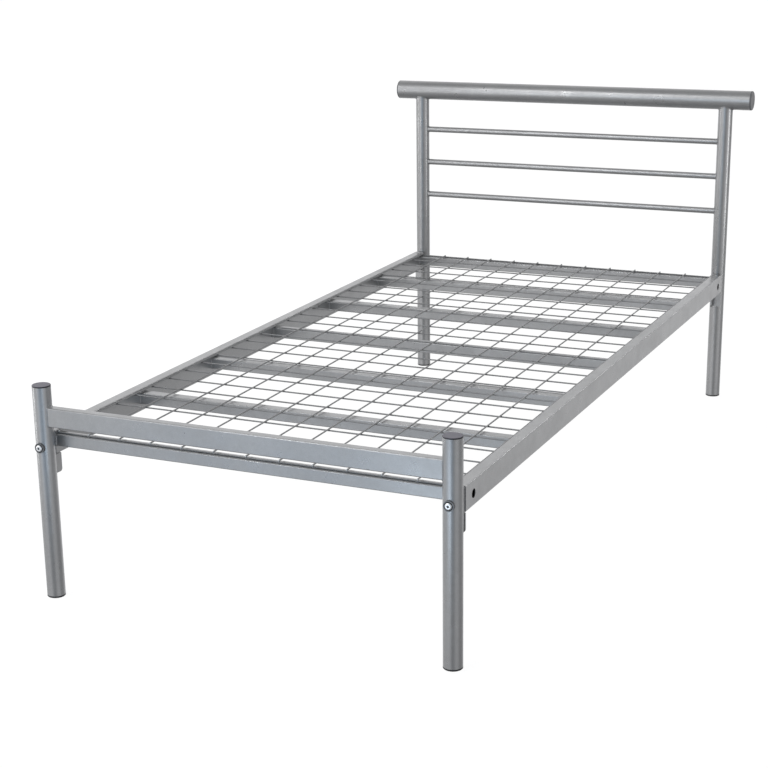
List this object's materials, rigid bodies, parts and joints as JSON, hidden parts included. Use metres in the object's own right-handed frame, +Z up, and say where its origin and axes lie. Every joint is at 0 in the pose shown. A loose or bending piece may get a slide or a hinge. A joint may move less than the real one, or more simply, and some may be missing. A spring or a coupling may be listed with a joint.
{
  "type": "metal bed frame",
  "caption": "Low single bed frame in silver painted tube, with a railed headboard, a plain foot rail and a bolted wire-mesh mattress base on short round legs.",
  "frame": {"origin": "on the floor, at the centre of the bed's width and length", "axes": "+X to the right as seen from the foot end, +Y from the foot end to the headboard, +Z up"},
  "size_m": [1.027, 1.9944, 0.8489],
  "materials": {
    "frame_paint": "satin silver powder coat",
    "mesh_wire": "satin silver powder coat on drawn wire",
    "cap_plastic": "satin grey moulded plastic",
    "glide_plastic": "matt dark moulded plastic",
    "fixing_steel": "bright zinc plated"
  },
  "bodies": {
    "root": {"head_post_left": "frame_paint", "foot_post_left": "frame_paint", "foot_post_cap_left": "cap_plastic", "head_glide_left": "glide_plastic", "foot_glide_left": "glide_plastic", "head_rail_cap_left": "cap_plastic", "side_rail_left": "frame_paint", "head_post_right": "frame_paint", "foot_post_right": "frame_paint", "foot_post_cap_right": "cap_plastic", "head_glide_right": "glide_plastic", "foot_glide_right": "glide_plastic", "head_rail_cap_right": "cap_plastic", "side_rail_right": "frame_paint", "head_top_rail": "frame_paint", "head_rod_upper": "frame_paint", "head_rod_middle": "frame_paint", "head_rod_lower": "frame_paint", "foot_cross_rail": "frame_paint", "end_rail_foot": "frame_paint", "end_rail_head": "frame_paint", "cross_slat_1": "frame_paint", "cross_slat_2": "frame_paint", "cross_slat_3": "frame_paint", "cross_slat_4": "frame_paint", "cross_slat_5": "frame_paint", "mesh_long_wires": "mesh_wire", "mesh_cross_wires": "mesh_wire", "corner_plate_foot_left": "frame_paint", "corner_plate_foot_right": "frame_paint", "corner_plate_head_left": "frame_paint", "corner_plate_head_right": "frame_paint", "leg_bolts": "fixing_steel", "leg_washers": "fixing_steel", "leg_nuts": "fixing_steel"}
  },
  "joints": []
}
